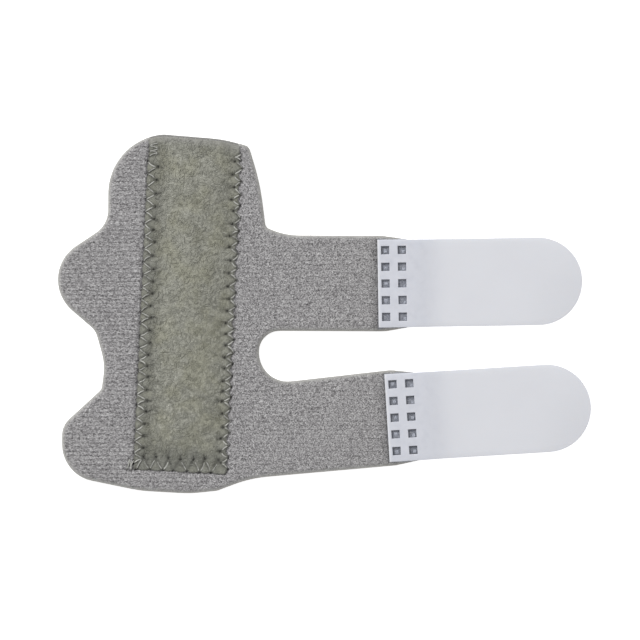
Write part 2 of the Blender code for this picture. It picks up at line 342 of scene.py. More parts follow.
pocket = {
    "trim": 0.5 * mm, "leftInset": 0.46 * mm, "rightInset": 0.44 * mm, "palmInset": -0.42 * mm,
    "cell": 0.30 * mm,
    "seat": 0.03 * mm, "hollow": 0.8 * mm, "crown": 1.3,
    "edgeThickness": 0.4 * mm, "bodyThickness": 1.05 * mm, "bodyRamp": 5 * mm, "edgeRound": 0.65, "edgeRoundWidth": 0.5 * mm,
    "seamWidth": 2.7 * mm, "endRamp": 7 * mm, "mouthShare": 0.72, "mouthRamp": 9 * mm,
    "holeDepth": 0.6 * mm, "holeWidth": 0.34 * mm, "threadDent": 0.16 * mm,
    "deep": tint(125, 125, 114), "body": tint(159, 159, 149), "tips": tint(188, 188, 178), "olive": tint(158, 157, 136),
    "matted": tint(142, 143, 136), "shadow": tint(30, 30, 28), "mouthRim": tint(163, 162, 158), "band": 0.28,
    "hairLength": 0.55 * mm, "hairThickness": 0.05 * mm, "hairsPerSquare": 5.0,
    "curlLength": 1.5 * mm, "curlRadius": 0.055 * mm, "curlHeight": 0.26 * mm, "curlSwing": 0.22 * mm, "curlsPerSquare": 2.9,
}

thread = {
    "radius": 0.155 * mm, "plies": 3, "pliesDepth": 0.14, "sides": 12, "turn": 0.95 * mm, "steps": 13,
    "cycle": 2.76 * mm, "tackCycle": 1.2 * mm, "jitter": 0.26 * mm, "uneven": 0.1,
    "sink": 0.6 * mm, "arch": 0.10 * mm, "bow": 0.34 * mm, "outerReach": 0.15, "innerReach": 0.36,
    "buried": {"left": 0.12 * mm, "right": 0.14 * mm, "palm": 0.34 * mm},
    "color": tint(208, 208, 202), "shade": tint(122, 122, 117),
    "holeShift": 0.16 * mm, "holeWidth": 0.38 * mm, "threadShadowWidth": 0.42 * mm, "threadShadow": 0.5,
}

tab = {
    "base": 0.55 * mm, "weldLow": 1.6 * mm, "weldLength": 8.4 * mm, "slope": 7.0 * mm,
    "hole": 1.85 * mm, "columns": 2, "rows": 5, "columnPitch": 3.8 * mm, "endMargin": 1.75 * mm, "sideMargin": 2.4 * mm,
    "edge": 0.16 * mm, "lip": 0.07 * mm, "endSteps": 40, "alongSpan": 60 * mm,
    "hookPitchLong": 1.25 * mm, "hookPitchWide": 0.95 * mm, "hookHeight": 0.62 * mm, "hookMargin": 0.9 * mm,
    "plastic": tint(217, 218, 223), "thick": tint(215, 216, 221), "welded": tint(208, 210, 218), "stainAndSlopeShade": tint(196, 198, 207),
    "plugLow": 1.22 * mm, "plugHeight": 0.5 * mm, "plugBase": 0.3 * mm, "plugSteps": 10,
    "plugShift": ((0.09, -0.10), (0.42, -0.40)),
}

random.seed(7)


# Zigzag stitching, worked out first because the cloths are pulled in by it

def zigzagRun(outerAt, innerAt, first, last, along, cycle=thread["cycle"]):
    # needle points down a seam, outer and inner by turns, each as (u, v, isOuter)
    spots, place, outer = [], first, True
    while place < last:
        line = outerAt if outer else innerAt
        cross = line + random.uniform(-1, 1) * thread["jitter"] * (0.4 if outer else 1)
        spots.append((cross, place, outer) if along else (place, cross, outer))
        place += cycle * (0.5 + random.uniform(-1, 1) * thread["uneven"])
        outer = not outer
    return spots


def sewSeams():
    # each seam's needle points; the side seams end in tight stitches, and the palm one starts on the wrap
    half = pocketFrame["width"] / 2
    leftEnd, rightEnd = pocketLength(leftSide + 1 * mm), pocketLength(half - 1 * mm)
    tight = thread["tackCycle"]
    return {
        "left": zigzagRun(leftSide - 0.05 * mm, leftSide + 2.1 * mm, 0.9 * mm, leftEnd - 4.4 * mm, True),
        "right": zigzagRun(half - 0.08 * mm, half - 1.8 * mm, 0.6 * mm, rightEnd - 3.6 * mm, True),
        "palm": zigzagRun(palmSide + 0.05 * mm, palmSide + 2.85 * mm, leftSide + 0.6 * mm, half - 1.2 * mm, False),
        "leftTack": zigzagRun(leftSide + 0.2 * mm, leftSide + 2.4 * mm, leftEnd - 4.2 * mm, leftEnd - 1.0 * mm, True, tight),
        "rightTack": zigzagRun(half - 0.5 * mm, half - 1.9 * mm, rightEnd - 3.4 * mm, rightEnd - 1.5 * mm, True, tight),
        "cornerTack": zigzagRun(palmSide - 0.2 * mm, palmSide + 2.3 * mm, leftSide - 1.6 * mm, leftSide + 0.6 * mm, False, tight),
    }


leftSide = pocket["leftInset"] - pocketFrame["width"] / 2
rightSide = pocketFrame["width"] / 2 - pocket["rightInset"]
palmSide = pocket["palmInset"]
seams = sewSeams()
needlePoints = [spot for run in seams.values() for spot in run]
arms = [(start, end, name) for name, run in seams.items() for start, end in zip(run, run[1:])]
needleFlat = np.array([fromPocket(u, v) for u, v, _ in needlePoints])
outerFlat = np.array([fromPocket(u, v) for u, v, outer in seams["right"] if outer])
armStarts = np.array([fromPocket(start[0], start[1]) for start, _, _ in arms])
armEnds = np.array([fromPocket(end[0], end[1]) for _, end, _ in arms])
wrapTop = 2.0 * mm
print("stitches laid out:", len(arms))


def needleHoles():
    # the inner holes lie a little beyond the thread, and a short crease runs on inwards from each
    starts, ends = [], []
    for name, inward in (("left", (1, 0)), ("right", (-1, 0)), ("palm", (0, 1))):
        for u, v, outer in seams[name]:
            if outer:
                continue
            shift = thread["holeShift"] * random.uniform(0.4, 1.4)
            reach, skew = shift + random.uniform(0.4, 1.2) * mm, random.uniform(-0.35, 0.35) * mm
            starts.append(fromPocket(u + inward[0] * shift, v + inward[1] * shift))
            ends.append(fromPocket(u + inward[0] * reach + inward[1] * skew, v + inward[1] * reach + inward[0] * skew))
    return np.array(starts), np.array(ends)


def pocketBorder():
    # the pocket's three sewn sides as segments
    ends = [(leftSide, pocketLength(leftSide)), (leftSide, palmSide), (rightSide, palmSide), (rightSide, pocketLength(rightSide))]
    corners = np.array([fromPocket(u, v) for u, v in ends])
    return corners[:-1], corners[1:]


def inPocket(u, v):
    # how far inside the pocket's sewn sides a point is
    return np.minimum(np.minimum(u - leftSide, rightSide - u), v - palmSide)


def mouthGap(u, v):
    # how far short of the fingertip edge a point is
    knots = np.linspace(leftSide - 2 * mm, rightSide + 2 * mm, 60)
    return np.interp(u, knots, [pocketLength(knot) for knot in knots]) - v


borderStarts, borderEnds = pocketBorder()
pullStarts, pullEnds = needleHoles()
holeFlat = np.concatenate((pullStarts, needleFlat[[outer for _, _, outer in needlePoints]]))


def makeWrapMaterial():
    material, tree, shader = newMaterial("heatherKnit", **{"Roughness": 0.93, "Sheen Weight": 0.25, "Sheen Roughness": 0.5})
    shader.inputs["Specular IOR Level"].default_value = 0.22
    place = millimetres(tree)
    legs = placeGroup(tree, knitGroup, Place=place, Course=wrap["course"], Wale=wrap["wale"])
    dashes = placeGroup(tree, fleckGroup, Place=place, Size=0.17, Stretch=4.0, Fine=0.3, Seed=3.0)["Tone"]
    specks = placeGroup(tree, fleckGroup, Place=place, Size=0.15, Stretch=1.9, Fine=0.25, Seed=8.0)["Tone"]
    side = addNode(tree, "ShaderNodeSeparateXYZ", {0: place}).outputs[0]
    share = rescale(tree, side, -14.0, 12.0, 0.3, 0.9, smooth=True)
    flecks = addNode(tree, "ShaderNodeMix", {0: share, 2: dashes, 3: specks}).outputs[0]
    tone = maths(tree, "ADD", maths(tree, "MULTIPLY", flecks, 0.72), maths(tree, "MULTIPLY", legs["Tone"], 0.26))
    tone = maths(tree, "ADD", tone, maths(tree, "MULTIPLY_ADD", legs["Relief"], 0.12, -0.07))
    rows = maths(tree, "MULTIPLY", legs["Row"], rescale(tree, side, -10.0, 20.0, 0.12, 0.07))
    tone = maths(tree, "SUBTRACT", tone, rows)
    lower = mixColor(tree, rescale(tree, tone, 0.04, 0.46), wrap["darkYarn"], wrap["midYarn"])
    yarn = mixColor(tree, rescale(tree, tone, 0.46, 0.90), lower, wrap["lightYarn"])
    # painted highlight along the rolled cut edge, in the foam's warmer tone
    yarn = mixColor(tree, maths(tree, "MULTIPLY", mask(tree, "rim"), 0.85), yarn, wrap["rimFoamAndHighlight"])
    cells = addNode(tree, "ShaderNodeTexVoronoi", {"Vector": place, "Scale": 5.5}).outputs["Distance"]
    foam = mixColor(tree, rescale(tree, cells, 0.1, 0.7), tint(140, 138, 131), wrap["foam"])
    color = mixColor(tree, mask(tree, "core"), yarn, foam)
    color = mixColor(tree, maths(tree, "MULTIPLY", mask(tree, "film"), 0.6), color, wrap["film"])
    # painted shade from the seam mask
    color = mixColor(tree, mask(tree, "seam"), color, wrap["seamShadow"])
    tree.links.new(color, shader.inputs["Base Color"])
    height = maths(tree, "ADD", maths(tree, "MULTIPLY", legs["Relief"], 0.6), maths(tree, "MULTIPLY", flecks, 0.4))
    bumpInto(tree, shader, height, wrap["relief"], 0.8)
    return material


def makeWrap():
    bm = nodeMesh("wrap_body")
    piece = newPiece("wrapCloth", bm, makeWrapMaterial())
    remesh = piece.modifiers.new("evenMesh", "REMESH")
    remesh.mode = "VOXEL"
    remesh.voxel_size = wrap["voxel"]
    soften = piece.modifiers.new("softEdge", "SMOOTH")
    soften.iterations = 3
    soften.factor = 0.5
    fixModifiers(piece)
    mesh = piece.data
    points = getPoints(mesh)
    flat = points[:, :2]
    inFromEdge = nearest(flat, cutStarts, cutEnds)
    upper = ease((points[:, 2] - 0.6 * mm) / (0.7 * mm))
    lower = 1 - upper
    # the cut edge rolls over, the sheet sways a little and the seam pulls it in
    roll = wrap["rimRoll"] * np.clip(1 - inFromEdge / wrap["rimWidth"], 0, 1) ** 2
    points[:, 2] -= roll * upper
    sway = (grain(np.column_stack((flat, np.zeros(len(flat)))), wrap["swaySpan"], 2) + 0.35) * wrap["sway"]
    sway += grain(np.column_stack((flat, np.zeros(len(flat)))), 4.5 * mm, 5) * 0.035 * mm
    points[:, 2] += np.maximum(sway, 0) * ease(inFromEdge / (3 * mm)) * upper
    border = nearest(flat, borderStarts, borderEnds)
    u, v = toPocket(flat)
    outside = inPocket(u, v) < np.where(u > 0, 0.7 * mm, 0.05 * mm)
    needle = nearestPoint(flat, needleFlat, 2 * mm)
    threads = nearest(flat, armStarts, armEnds)
    groove = wrap["grooveDepth"] * np.maximum(hump(border, wrap["grooveWidth"]), 0.4 * hump(threads, 0.3 * mm))
    pinch = wrap["pinchDepth"] * hump(needle, wrap["pinchWidth"])
    swell = wrap["swellHeight"] * hump(border - 1.1 * mm, 0.7 * mm) * (1 - hump(needle, 1.2 * mm))
    points[:, 2] += (np.where(outside, swell, 0) - np.maximum(groove, pinch)) * upper
    # the bobbin thread lies in a groove on the skin side
    points[:, 2] += wrap["skinGroove"] * hump(threads, wrap["skinGrooveWidth"]) * lower
    setPoints(mesh, points)
    sideways = hump(inFromEdge, 0.22 * mm) * ease((points[:, 2] - 0.15 * mm) / (0.25 * mm))
    sideways *= 1 - ease((points[:, 2] - 1.15 * mm) / (0.3 * mm))
    setMask(mesh, "core", sideways * 1.4)
    # the rim mask says where the painted highlight of the rolled edge goes
    setMask(mesh, "rim", (1 - ease(inFromEdge / wrap["rimWidth"])) * upper)
    # painted shade: a line along the pocket's edge, strongest on the left, the needle holes, and the sides of the
    # threads
    sharp = np.where(v < palmSide + 0.3 * mm, 0.12, np.where(u > 0, 0.05, 0.6)) * ease((mouthGap(u, v) - 1 * mm) / (3 * mm))
    seamDark = sharp * hump(border, 0.2 * mm) + 0.9 * hump(needle, 0.27 * mm) + 0.25 * hump(threads, 0.28 * mm)
    # painted shade: a dark line runs in the dip along the strap side of each tab; the cloth under the tab is glazed
    film = np.zeros(len(flat))
    for axes in tabFrames.values():
        offset = flat - axes["start"]
        x, y = offset @ axes["along"], offset @ axes["across"]
        within = np.abs(y) < axes["width"] / 2 + 0.2 * mm
        ragged = 0.55 + 0.45 * np.sin(y / (0.23 * mm)) * np.sin(y / (0.61 * mm) + 1)
        seamDark += 0.85 * ragged * hump(x + 0.12 * mm, 0.24 * mm) * within + 0.06 * hump(x + 0.5 * mm, 0.9 * mm) * within
        film += np.where(within & (x > -0.1 * mm), 1.0, 0.0)
    setMask(mesh, "film", film * upper)
    # painted shade in the bobbin thread's groove on the skin side
    skinDark = 0.55 * hump(threads, 0.4 * mm) * lower
    # the seam mask is painted shade; the cloth hidden under the pocket gets half of it
    setMask(mesh, "seam", np.where(outside, seamDark, 0.5) * upper + skinDark)
    setMask(mesh, "fuzz", np.where(outside & (inFromEdge > 0.1 * mm), 1.0, 0.0) * upper * (1 - hump(border, 0.4 * mm)))
    mesh.shade_smooth()
    return piece


wrapCloth = makeWrap()
print("wrap:", len(wrapCloth.data.polygons), "faces")


# Pocket: brushed loop cloth

def pocketLift(u, v, length):
    middle, freeHalf = (leftSide + rightSide) / 2, (rightSide - leftSide) / 2 - pocket["seamWidth"]
    crown = np.cos(math.pi / 2 * np.minimum(0.9999, np.abs(u - middle) / freeHalf)) ** pocket["crown"]
    end = ease((v - pocket["seamWidth"]) / pocket["endRamp"])
    mouth = pocket["mouthShare"] + (1 - pocket["mouthShare"]) * ease((length - v) / pocket["mouthRamp"])
    return pocket["hollow"] * crown * end * mouth


def pocketThickness(u, v):
    inward = inPocket(u, v)
    body = ease((inward - 0.4 * mm) / pocket["bodyRamp"])
    rounding = 1 - pocket["edgeRound"] * np.clip(1 - inward / pocket["edgeRoundWidth"], 0, 1) ** 2
    return (pocket["edgeThickness"] + (pocket["bodyThickness"] - pocket["edgeThickness"]) * body) * rounding


def pocketTop(u, v, length):
    # height of the pocket's upper face before the stitches pull it down
    return wrapTop + pocket["seat"] + pocketLift(u, v, length) + pocketThickness(u, v)


def makePileMaterial(name, forStrands):
    material, tree, shader = newMaterial(name, **{"Roughness": 0.95, "Sheen Weight": 0.3, "Sheen Roughness": 0.45})
    shader.inputs["Specular IOR Level"].default_value = 0.2
    place = millimetres(tree)
    curls = placeGroup(tree, fleckGroup, Place=place, Size=0.5, Stretch=1.1, Seed=14.0)["Tone"]
    patches = addNode(tree, "ShaderNodeTexNoise", {"Vector": place, "Scale": 0.30, "Detail": 2.0}).outputs[0]
    own = mask(tree, "tone") if forStrands else curls
    tone = maths(tree, "ADD", maths(tree, "MULTIPLY", own, 0.58), maths(tree, "MULTIPLY", patches, 0.50))
    low = mixColor(tree, rescale(tree, tone, 0.12, 0.53), pocket["deep"], pocket["body"])
    color = mixColor(tree, rescale(tree, tone, 0.53, 0.95), low, pocket["tips"])
    warm = addNode(tree, "ShaderNodeTexNoise", {"Vector": place, "Scale": 0.21, "Detail": 2.0}).outputs[0]
    color = mixColor(tree, rescale(tree, warm, 0.42, 0.66, 0.0, 0.45), color, pocket["olive"])
    color = mixColor(tree, maths(tree, "MULTIPLY", mask(tree, "matted"), 0.55), color, pocket["matted"])
    color = mixColor(tree, maths(tree, "MULTIPLY", mask(tree, "mouth"), 0.75), color, pocket["mouthRim"])
    # painted shade from the seam mask
    color = mixColor(tree, mask(tree, "seam"), color, pocket["shadow"])
    tree.links.new(color, shader.inputs["Base Color"])
    if not forStrands:
        bumpInto(tree, shader, curls, 0.16 * mm, 0.8)
    return material


def makePocket():
    width = rightSide - leftSide
    across = round(width / pocket["cell"])
    along = round(pocketLength(0.0) / pocket["cell"])
    bm = bmesh.new()
    bmesh.ops.create_grid(bm, x_segments=across, y_segments=along, size=1.0)
    uv = np.array([(leftSide + (vert.co.x + 1) / 2 * width, (vert.co.y + 1) / 2) for vert in bm.verts])
    lengths = {u: pocketLength(u) for u in set(np.round(uv[:, 0], 9))}
    reach = np.array([lengths[u] for u in np.round(uv[:, 0], 9)])
    u, v = uv[:, 0], palmSide + uv[:, 1] * (reach - palmSide)
    flat = fromPocket(u, v)
    needle = nearestPoint(flat, holeFlat, 2 * mm)
    threads = nearest(flat, armStarts, armEnds)
    # the left and palm edges are drawn in at the stitches, the right one reaches out to them
    drawn = 1 - 2 * hump(needle, 0.7 * mm)
    out = 1 - 2 * hump(nearestPoint(flat, outerFlat, 2 * mm), 0.85 * mm)
    edge = -0.42 * mm * out * hump(rightSide - u, 0.7 * mm) - 0.16 * mm * drawn * hump(u - leftSide, 0.5 * mm)
    lowEdge = -0.16 * mm * drawn * hump(v - palmSide, 0.5 * mm)
    placed = fromPocket(u + edge, v + lowEdge)
    under = wrapTop + pocket["seat"] + pocketLift(u, v, reach)
    deep = np.column_stack((flat, np.zeros(len(flat))))
    lumps = grain(deep, 2.6 * mm, 11) * 0.06 * mm + grain(deep, 0.9 * mm, 12) * 0.035 * mm
    pulls = nearest(flat, pullStarts, pullEnds)
    dents = np.maximum(pocket["holeDepth"] * hump(needle, pocket["holeWidth"]), pocket["threadDent"] * hump(threads, 0.3 * mm))
    dents = np.maximum(dents, 0.22 * mm * hump(pulls, 0.26 * mm))
    thickness = np.maximum(pocketThickness(u, v) + lumps - dents, 0.12 * mm)
    for vert, spot, z in zip(bm.verts, placed, under):
        vert.co = (*spot, z)
    made = bmesh.ops.extrude_face_region(bm, geom=list(bm.faces))
    raised = [item for item in made["geom"] if isinstance(item, bmesh.types.BMVert)]
    for vert, rise in zip(raised, thickness):
        vert.co.z += rise
    bmesh.ops.recalc_face_normals(bm, faces=bm.faces)
    count = len(uv)
    piece = newPiece("pocketCloth", bm, makePileMaterial("brushedLoop", False))
    mesh = piece.data
    points = getPoints(mesh)
    flat = points[:, :2]
    u, v = toPocket(flat)
    top = np.arange(len(points)) >= count
    inward = inPocket(u, v)
    needle = nearestPoint(flat, holeFlat, 2 * mm)
    threads, pulls = nearest(flat, armStarts, armEnds), nearest(flat, pullStarts, pullEnds)
    # painted shade: the needle holes, the sides of the threads, the creases from the inner holes and the pocket's edge
    seamDark = np.maximum(1.15 * hump(needle, thread["holeWidth"]), thread["threadShadow"] * hump(threads, thread["threadShadowWidth"]))
    seamDark = np.maximum(seamDark, 0.5 * hump(pulls, 0.26 * mm)) * np.where(v < 4 * mm, 0.85, 1.0)
    gap = np.tile(reach, 2) - v
    seamDark = np.maximum(seamDark, np.where(u > 0, 0.12, 0.35) * (1 - ease((inward + 0.1 * mm) / (0.3 * mm))))
    # the sewn band is darker, more so at the left, and the pile at the palm end gets painted shade where it slopes down
    atLeft = 1 - ease((u - leftSide - 2.8 * mm) / (3.2 * mm))
    atRight = 0.5 * (1 - ease((rightSide - u - 1.9 * mm) / (1.6 * mm)))
    atPalm = 0.5 * (1 - ease((v - 2.6 * mm) / (2.6 * mm)))
    band = pocket["band"] * (0.45 + 0.55 * ease(inward / (2.6 * mm))) * np.maximum(np.maximum(atLeft, atRight), atPalm)
    ends = 0.07 * (1 - ease((v - 1.5 * mm) / (8 * mm)))
    blotch = 1 + 0.5 * grain(points, 1.3 * mm, 41)
    seamDark = 1 - (1 - np.clip(seamDark, 0, 1)) * (1 - np.clip((band + ends) * blotch, 0, 0.6))
    seamDark *= 0.35 + 0.65 * ease((gap - 0.6 * mm) / (2.4 * mm))
    # the lower edge of the left side wall gets painted shade as well
    setMask(mesh, "seam", np.where(top, seamDark, np.where(u > 0, 0.0, 0.25)))
    matted = 1 - ease(np.where(u > 0, (inward - 0.6 * mm) / (1.5 * mm), (inward - 1.2 * mm) / (3.0 * mm)))
    matted = np.maximum(matted, 0.8 * (1 - ease(gap / (6 * mm))))
    matted = np.maximum(matted, 1.5 * (1 - ease((v - 1.5 * mm) / (7 * mm))))
    setMask(mesh, "matted", matted * (0.75 + 0.35 * grain(points, 2.2 * mm, 31)))
    setMask(mesh, "mouth", (1 - ease((gap - 0.3 * mm) / (1.8 * mm))) * (0.85 + 0.5 * grain(points, 0.8 * mm, 51)))
    clear = (inward > 0.3 * mm) & top
    bare = (1 - hump(needle, 0.5 * mm)) * (1 - 0.75 * hump(threads, 0.3 * mm)) * clear
    setMask(mesh, "hairs", bare * (0.35 + 0.65 * ease((inward - 0.4 * mm) / (2.4 * mm))))
    setMask(mesh, "curls", bare * (gap > 0.5 * mm) * (0.22 + 0.78 * ease((inward - 1.2 * mm) / (1.8 * mm))))
    mesh.shade_smooth()
    return piece


pocketCloth = makePocket()
print("pocket:", len(pocketCloth.data.polygons), "faces")


# Wires: a section swept along paths

def makeSection(name, sides, radius, lobes=1, depth=0.0):
    # a circle, with a bulge for each lobe
    shape = bpy.data.curves.new(name, "CURVE")
    shape.dimensions = "2D"
    ring = shape.splines.new("POLY")
    ring.points.add(sides - 1)
    for number, point in enumerate(ring.points):
        angle = 2 * math.pi * number / sides
        out = radius * (1 + depth * math.cos(lobes * angle))
        point.co = (out * math.cos(angle), out * math.sin(angle), 0, 1)
    ring.use_cyclic_u = True
    made = bpy.data.objects.new(name, shape)
    bpy.context.scene.collection.objects.link(made)
    return made


def sweepWires(name, paths, section, turn=0.0, taper=False):
    # one closed mesh of wires, twisted once every turn metres
    curve = bpy.data.curves.new(name, "CURVE")
    curve.dimensions = "3D"
    curve.bevel_mode = "OBJECT"
    curve.bevel_object = section
    curve.use_fill_caps = True
    for path in paths:
        spline = curve.splines.new("POLY")
        spline.points.add(len(path) - 1)
        travelled, before = 0.0, Vector(path[0])
        for number, (point, place) in enumerate(zip(spline.points, path)):
            travelled += (Vector(place) - before).length
            before = Vector(place)
            point.co = (*place, 1)
            point.tilt = 2 * math.pi * travelled / turn if turn else 0.0
            point.radius = 0.35 + 0.65 * math.sin(math.pi * number / (len(path) - 1)) if taper else 1.0
    wire = bpy.data.objects.new(name + "Path", curve)
    bpy.context.scene.collection.objects.link(wire)
    mesh = bpy.data.meshes.new_from_object(wire.evaluated_get(bpy.context.evaluated_depsgraph_get()))
    bpy.data.objects.remove(wire)
    bm = bmesh.new()
    bm.from_mesh(mesh)
    bpy.data.meshes.remove(mesh)
    bmesh.ops.remove_doubles(bm, verts=bm.verts, dist=1e-8)
    bmesh.ops.recalc_face_normals(bm, faces=bm.faces)
    return bm


# Fibres, laid out by Geometry Nodes and made real

def makeStrand(name, length, thickness, bend):
    # a three-sided hair that tapers and bends over
    bm = bmesh.new()
    bmesh.ops.create_cone(bm, cap_ends=True, segments=3, radius1=thickness / 2, radius2=thickness / 8, depth=length)
    bmesh.ops.translate(bm, verts=bm.verts, vec=(0, 0, length / 2))
    for share in (0.4, 0.72):
        geometry = list(bm.verts) + list(bm.edges) + list(bm.faces)
        bmesh.ops.bisect_plane(bm, geom=geometry, plane_co=(0, 0, length * share), plane_no=(0, 0, 1))
    for vert in bm.verts:
        share = vert.co.z / length
        vert.co.x += bend * length * share * share
        vert.co.z *= 1 - 0.35 * bend * share
    mesh = bpy.data.meshes.new(name)
    bm.to_mesh(mesh)
    bm.free()
    return bpy.data.objects.new(name, mesh)


def makeCurl(name, section):
    # one brushed loop: a worm that rises, swings and dips back
    length, swing, height = (pocket[key] for key in ("curlLength", "curlSwing", "curlHeight"))
    swing *= random.uniform(-1.3, 1.3)
    path = []
    for step in range(6):
        share = step / 5
        rise = height * (math.sin(math.pi * share) * random.uniform(0.8, 1.2) - 0.25)
        path.append(((share - 0.5) * length, swing * math.sin(2 * math.pi * share + 0.5), rise))
    mesh = bpy.data.meshes.new(name)
    bm = sweepWires(name, [path], section, taper=True)
    bm.to_mesh(mesh)
    bm.free()
    return bpy.data.objects.new(name, mesh)


def growStrands(name, carrier, strands, material, maskName, perSquare, lean, sizes, seed):
    # perSquare is hairs for each square millimetre where the mask is 1, lean the tilt in degrees
    piece = bpy.data.objects.new(name, carrier.data.copy())
    bpy.context.scene.collection.objects.link(piece)
    tree = bpy.data.node_groups.new(name, "GeometryNodeTree")
    tree.interface.new_socket(name="Geometry", in_out="INPUT", socket_type="NodeSocketGeometry")
    tree.interface.new_socket(name="Geometry", in_out="OUTPUT", socket_type="NodeSocketGeometry")
    given = addNode(tree, "NodeGroupInput").outputs[0]
    where = addNode(tree, "GeometryNodeInputNamedAttribute", {"Name": maskName}, data_type="FLOAT").outputs["Attribute"]
    density = maths(tree, "MULTIPLY", where, perSquare / mm ** 2)
    spread = addNode(tree, "GeometryNodeDistributePointsOnFaces", {"Mesh": given, "Density": density, "Seed": seed})
    turn = addNode(tree, "FunctionNodeRandomValue", data_type="FLOAT_VECTOR")
    turn.inputs[0].default_value = (math.radians(lean[0]), 0, 0)
    turn.inputs[1].default_value = (math.radians(lean[1]), 0, 0)
    yaw = addNode(tree, "FunctionNodeRandomValue", {"Seed": seed + 1}, data_type="FLOAT_VECTOR")
    yaw.inputs[0].default_value = (0, 0, 0)
    yaw.inputs[1].default_value = (0, 0, 2 * math.pi)
    spun = addNode(tree, "FunctionNodeRotateRotation", {0: spread.outputs["Rotation"], 1: yaw.outputs[0]}, rotation_space="LOCAL")
    leant = addNode(tree, "FunctionNodeRotateRotation", {0: spun.outputs[0], 1: turn.outputs[0]}, rotation_space="LOCAL")
    size = addNode(tree, "FunctionNodeRandomValue", {"Seed": seed + 2}, data_type="FLOAT_VECTOR")
    size.inputs[0].default_value = (sizes[0],) * 3
    size.inputs[1].default_value = (sizes[1],) * 3
    choice = addNode(tree, "GeometryNodeJoinGeometry").inputs[0]
    for strand in strands:
        shape = addNode(tree, "GeometryNodeObjectInfo", {"Object": strand, "As Instance": True}).outputs["Geometry"]
        tree.links.new(shape, choice)
    which = addNode(tree, "FunctionNodeRandomValue", {"Seed": seed + 3}, data_type="INT")
    which.inputs[4].default_value = 0
    which.inputs[5].default_value = len(strands) - 1
    inputs = {
        "Points": spread.outputs["Points"], "Instance": choice.node.outputs[0], "Pick Instance": True,
        "Instance Index": which.outputs[2], "Rotation": leant.outputs[0], "Scale": size.outputs[0],
    }
    hairs = addNode(tree, "GeometryNodeInstanceOnPoints", inputs).outputs[0]
    shade = addNode(tree, "FunctionNodeRandomValue", {"Seed": seed + 4}, data_type="FLOAT").outputs[1]
    inputs = {"Geometry": hairs, "Name": "tone", "Value": shade}
    hairs = addNode(tree, "GeometryNodeStoreNamedAttribute", inputs, data_type="FLOAT", domain="INSTANCE").outputs[0]
    real = addNode(tree, "GeometryNodeRealizeInstances", {"Geometry": hairs}).outputs[0]
    addNode(tree, "NodeGroupOutput", {0: real})
    field = piece.modifiers.new("strands", "NODES")
    field.node_group = tree
    fixModifiers(piece)
    piece.data.materials.clear()
    piece.data.materials.append(material)
    piece.data.shade_smooth()
    return piece


pileMaterial = makePileMaterial("pileStrands", True)
pileHair = makeStrand("pileHair", pocket["hairLength"], pocket["hairThickness"], 0.9)
curlSection = makeSection("curlSection", 3, pocket["curlRadius"])
pileCurls = [makeCurl("pileCurl" + str(number), curlSection) for number in range(5)]
bpy.data.objects.remove(curlSection)
pocketHairs = growStrands(
    "pocketHairs", pocketCloth, [pileHair], pileMaterial, "hairs", pocket["hairsPerSquare"], (40, 78), (0.6, 1.2), 4)
pocketCurls = growStrands(
    "pocketCurls", pocketCloth, pileCurls, pileMaterial, "curls", pocket["curlsPerSquare"], (-14, 14), (0.6, 1.25), 40)
print("pile:", len(pocketHairs.data.polygons), "+", len(pocketCurls.data.polygons), "faces")


def makeFuzzMaterial():
    material, tree, shader = newMaterial("knitFuzz", **{"Roughness": 0.95})
    color = mixColor(tree, mask(tree, "tone"), wrap["darkYarn"], wrap["lightYarn"])
    tree.links.new(color, shader.inputs["Base Color"])
    return material


fuzzHair = makeStrand("fuzzHair", wrap["fuzzLength"], wrap["fuzzThickness"], 1.0)
wrapFuzz = growStrands(
    "wrapFuzz", wrapCloth, [fuzzHair], makeFuzzMaterial(), "fuzz", wrap["fuzzPerSquare"], (50, 86), (0.5, 1.3), 70)
print("fuzz:", len(wrapFuzz.data.polygons), "faces")


# Thread: real zigzag stitches, three plies twisted, on the face and on the skin side

def makeThreadMaterial():
    material, tree, shader = newMaterial("sewingThread", **{"Roughness": 0.6, "Sheen Weight": 0.2})
    place = millimetres(tree)
    tone = placeGroup(tree, fleckGroup, Place=place, Size=0.3, Stretch=1.0, Seed=21.0)["Tone"]
    worn = addNode(tree, "ShaderNodeTexNoise", {"Vector": place, "Scale": 0.45, "Detail": 1.0}).outputs[0]
    share = maths(tree, "MULTIPLY", maths(tree, "ADD", tone, rescale(tree, worn, 0.35, 0.62)), 0.5)
    tree.links.new(mixColor(tree, share, thread["shade"], thread["color"]), shader.inputs["Base Color"])
    bumpInto(tree, shader, tone, 0.04 * mm, 0.5)
    return material


def stitchPath(start, end, seam, face):
    # one arm of the zigzag as points: out of the cloth, over it and down again, slowly where the pile closes over it
    points = []
    run = Vector((end[0] - start[0], end[1] - start[1]))
    bow = Vector((-run.y, run.x)).normalized() * thread["bow"] * random.uniform(-1, 1)
    slow = face and seam in thread["buried"]
    startReach, endReach = [thread["innerReach"] if slow and not spot[2] else thread["outerReach"] for spot in (start, end)]
    buried = thread["buried"].get(seam, 0.0) * random.random()
    for step in range(thread["steps"]):
        share = step / (thread["steps"] - 1)
        swing = bow * math.sin(math.pi * share)
        u, v = start[0] + run.x * share + swing.x, start[1] + run.y * share + swing.y
        flat = fromPocket(u, v)
        free = min(float(ease(share / startReach)), float(ease((1 - share) / endReach)))
        sunk = thread["sink"] * (1 - free)
        if not face:
            points.append((*flat, thread["radius"] * 1.16 + sunk))
            continue
        sunk += buried * free
        length = pocketLength(u)
        onPocket = float(ease((inPocket(u, v) + 0.15 * mm) / (0.3 * mm)))
        low = wrapTop - 0.1 * mm
        height = low + (float(pocketTop(u, max(v, palmSide), length)) - pocket["threadDent"] - low) * onPocket
        points.append((*flat, height + thread["radius"] * 0.8 + thread["arch"] * math.sin(math.pi * share) - sunk))
    return points


